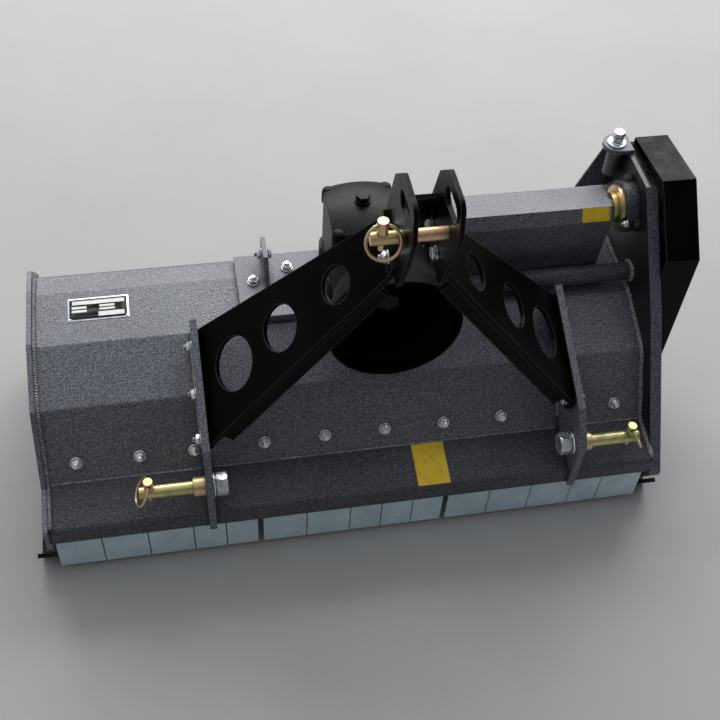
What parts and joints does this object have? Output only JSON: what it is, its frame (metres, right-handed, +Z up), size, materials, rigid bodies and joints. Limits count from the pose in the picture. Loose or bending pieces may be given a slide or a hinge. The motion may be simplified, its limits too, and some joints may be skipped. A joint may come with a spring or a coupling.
{
  "type": "flail mower",
  "caption": "Rear mounted flail mower with a folded steel hood, hitch mast, bevel gearbox, belt driven hammer rotor, hanging front flaps and a full width roller.",
  "frame": {"origin": "middle of the machine's box on the ground", "axes": "+X to the machine's right seen from behind the tractor, +Y to the rear, +Z up; the hitch and the flaps face -Y"},
  "size_m": [1.162, 0.5585, 0.805],
  "materials": {
    "paint": "speckled charcoal powder coat",
    "gloss_paint": "gloss black paint",
    "plated": "yellow zinc plate",
    "zinc": "bright zinc plate",
    "flap_zinc": "blue grey zinc plate",
    "steel": "machined and forged steel",
    "rubber": "matte",
    "plastic": "matte moulded"
  },
  "bodies": {
    "chassis": {"hood_shell": "paint", "front_beam": "paint", "left_side_plate": "paint", "right_side_plate": "paint", "hitch_brackets": "paint", "mast_ears": "paint", "gearbox_base": "paint", "drive_cover": "paint", "brace_tube": "paint", "bearing_housing": "paint", "tension_bracket": "paint", "roller_arms": "paint", "mast_legs": "gloss_paint", "gearbox_case": "gloss_paint", "filler_plug": "gloss_paint", "belt_cover": "gloss_paint", "belt_backing": "gloss_paint", "rotor_bearings": "gloss_paint", "skids": "gloss_paint", "lower_pins": "plated", "bearing_ring": "plated", "counter_bolts": "zinc", "frame_bolts": "zinc", "flap_rod": "zinc", "gear_bearings": "steel", "counter_bar": "steel", "drive_belts": "rubber", "pto_guard": "plastic"},
    "input": {"input_shaft": "steel"},
    "cross": {"cross_shaft": "steel", "drive_pulley": "steel"},
    "rotor": {"rotor_drum": "steel", "driven_pulley": "steel"},
    "hammers_bottom": {"flails_bottom": "steel"},
    "hammers_rear": {"flails_rear": "steel"},
    "hammers_top": {"flails_top": "steel"},
    "hammers_front": {"flails_front": "steel"},
    "roller": {"rear_roller": "gloss_paint"},
    "top_pin": {"top_link_pin": "plated"},
    "top_linch": {"top_linch_pin": "plated"},
    "top_ring": {"top_linch_ring": "plated"},
    "left_linch": {"left_linch_pin": "plated"},
    "left_ring": {"left_linch_ring": "plated"},
    "right_linch": {"right_linch_pin": "plated"},
    "right_ring": {"right_linch_ring": "plated"},
    "flap_01": {"flap_01": "flap_zinc"},
    "flap_02": {"flap_02": "flap_zinc"},
    "flap_03": {"flap_03": "flap_zinc"},
    "flap_04": {"flap_04": "flap_zinc"},
    "flap_05": {"flap_05": "flap_zinc"},
    "flap_06": {"flap_06": "flap_zinc"},
    "flap_07": {"flap_07": "flap_zinc"},
    "flap_08": {"flap_08": "flap_zinc"},
    "flap_09": {"flap_09": "flap_zinc"},
    "flap_10": {"flap_10": "flap_zinc"},
    "flap_11": {"flap_11": "flap_zinc"},
    "flap_12": {"flap_12": "flap_zinc"},
    "flap_13": {"flap_13": "flap_zinc"},
    "flap_14": {"flap_14": "flap_zinc"},
    "flap_15": {"flap_15": "flap_zinc"}
  },
  "joints": [
    {"name": "rotor_spin", "type": "hinge", "parent": "chassis", "child": "rotor", "pos_m": [-0.024, 0.02125, 0.16], "axis": [1, 0, 0], "continuous": true},
    {"name": "cross_spin", "type": "hinge", "parent": "chassis", "child": "cross", "pos_m": [-0.024, 0.09026, 0.44], "axis": [1, 0, 0], "continuous": true},
    {"name": "input_spin", "type": "hinge", "parent": "chassis", "child": "input", "pos_m": [0.03, -0.05475, 0.44], "axis": [0, 1, 0], "continuous": true},
    {"name": "hammers_bottom_swing", "type": "hinge", "parent": "rotor", "child": "hammers_bottom", "pos_m": [-0.024, 0.02125, 0.086], "axis": [1, 0, 0], "range_deg": [-95, 95]},
    {"name": "hammers_rear_swing", "type": "hinge", "parent": "rotor", "child": "hammers_rear", "pos_m": [-0.024, 0.09526, 0.16], "axis": [1, 0, 0], "range_deg": [-5, 185]},
    {"name": "hammers_top_swing", "type": "hinge", "parent": "rotor", "child": "hammers_top", "pos_m": [-0.024, 0.02125, 0.234], "axis": [1, 0, 0], "range_deg": [0, 190]},
    {"name": "hammers_front_swing", "type": "hinge", "parent": "rotor", "child": "hammers_front", "pos_m": [-0.024, -0.05275, 0.16], "axis": [1, 0, 0], "range_deg": [-185, 5]},
    {"name": "roller_spin", "type": "hinge", "parent": "chassis", "child": "roller", "pos_m": [-0.024, 0.21926, 0.06], "axis": [1, 0, 0], "continuous": true},
    {"name": "top_pin_turn", "type": "hinge", "parent": "chassis", "child": "top_pin", "pos_m": [0.034, -0.23475, 0.728], "axis": [1, 0, 0], "continuous": true},
    {"name": "top_linch_slide", "type": "slide", "parent": "top_pin", "child": "top_linch", "axis": [0, 0, 1], "range_m": [0, 0.06]},
    {"name": "top_ring_flip", "type": "hinge", "parent": "top_linch", "child": "top_ring", "pos_m": [-0.0288, -0.23475, 0.752], "axis": [1, 0, 0], "range_deg": [-120, 0]},
    {"name": "left_linch_slide", "type": "slide", "parent": "chassis", "child": "left_linch", "axis": [0, 0, 1], "range_m": [0, 0.06]},
    {"name": "left_ring_flip", "type": "hinge", "parent": "left_linch", "child": "left_ring", "pos_m": [-0.3795, -0.23275, 0.221], "axis": [0, 1, 0], "range_deg": [-29, 90]},
    {"name": "right_linch_slide", "type": "slide", "parent": "chassis", "child": "right_linch", "axis": [0, 0, 1], "range_m": [0, 0.06]},
    {"name": "right_ring_flip", "type": "hinge", "parent": "right_linch", "child": "right_ring", "pos_m": [0.4475, -0.23275, 0.221], "axis": [0, 1, 0], "range_deg": [-90, 29]},
    {"name": "flap_01_swing", "type": "hinge", "parent": "chassis", "child": "flap_01", "pos_m": [-0.024, -0.23775, 0.114], "axis": [1, 0, 0], "range_deg": [-40, 75]},
    {"name": "flap_02_swing", "type": "hinge", "parent": "chassis", "child": "flap_02", "pos_m": [-0.024, -0.23775, 0.114], "axis": [1, 0, 0], "range_deg": [-40, 75]},
    {"name": "flap_03_swing", "type": "hinge", "parent": "chassis", "child": "flap_03", "pos_m": [-0.024, -0.23775, 0.114], "axis": [1, 0, 0], "range_deg": [-40, 75]},
    {"name": "flap_04_swing", "type": "hinge", "parent": "chassis", "child": "flap_04", "pos_m": [-0.024, -0.23775, 0.114], "axis": [1, 0, 0], "range_deg": [-40, 75]},
    {"name": "flap_05_swing", "type": "hinge", "parent": "chassis", "child": "flap_05", "pos_m": [-0.024, -0.23775, 0.114], "axis": [1, 0, 0], "range_deg": [-40, 75]},
    {"name": "flap_06_swing", "type": "hinge", "parent": "chassis", "child": "flap_06", "pos_m": [-0.024, -0.23775, 0.114], "axis": [1, 0, 0], "range_deg": [-40, 75]},
    {"name": "flap_07_swing", "type": "hinge", "parent": "chassis", "child": "flap_07", "pos_m": [-0.024, -0.23775, 0.114], "axis": [1, 0, 0], "range_deg": [-40, 75]},
    {"name": "flap_08_swing", "type": "hinge", "parent": "chassis", "child": "flap_08", "pos_m": [-0.024, -0.23775, 0.114], "axis": [1, 0, 0], "range_deg": [-40, 75]},
    {"name": "flap_09_swing", "type": "hinge", "parent": "chassis", "child": "flap_09", "pos_m": [-0.024, -0.23775, 0.114], "axis": [1, 0, 0], "range_deg": [-40, 75]},
    {"name": "flap_10_swing", "type": "hinge", "parent": "chassis", "child": "flap_10", "pos_m": [-0.024, -0.23775, 0.114], "axis": [1, 0, 0], "range_deg": [-40, 75]},
    {"name": "flap_11_swing", "type": "hinge", "parent": "chassis", "child": "flap_11", "pos_m": [-0.024, -0.23775, 0.114], "axis": [1, 0, 0], "range_deg": [-40, 75]},
    {"name": "flap_12_swing", "type": "hinge", "parent": "chassis", "child": "flap_12", "pos_m": [-0.024, -0.23775, 0.114], "axis": [1, 0, 0], "range_deg": [-40, 75]},
    {"name": "flap_13_swing", "type": "hinge", "parent": "chassis", "child": "flap_13", "pos_m": [-0.024, -0.23775, 0.114], "axis": [1, 0, 0], "range_deg": [-40, 75]},
    {"name": "flap_14_swing", "type": "hinge", "parent": "chassis", "child": "flap_14", "pos_m": [-0.024, -0.23775, 0.114], "axis": [1, 0, 0], "range_deg": [-40, 75]},
    {"name": "flap_15_swing", "type": "hinge", "parent": "chassis", "child": "flap_15", "pos_m": [-0.024, -0.23775, 0.114], "axis": [1, 0, 0], "range_deg": [-40, 75]}
  ],
  "couplings": [
    {"joint": "cross_spin", "follows": "rotor_spin", "ratio": 0.73333},
    {"joint": "input_spin", "follows": "rotor_spin", "ratio": 0.24444}
  ]
}
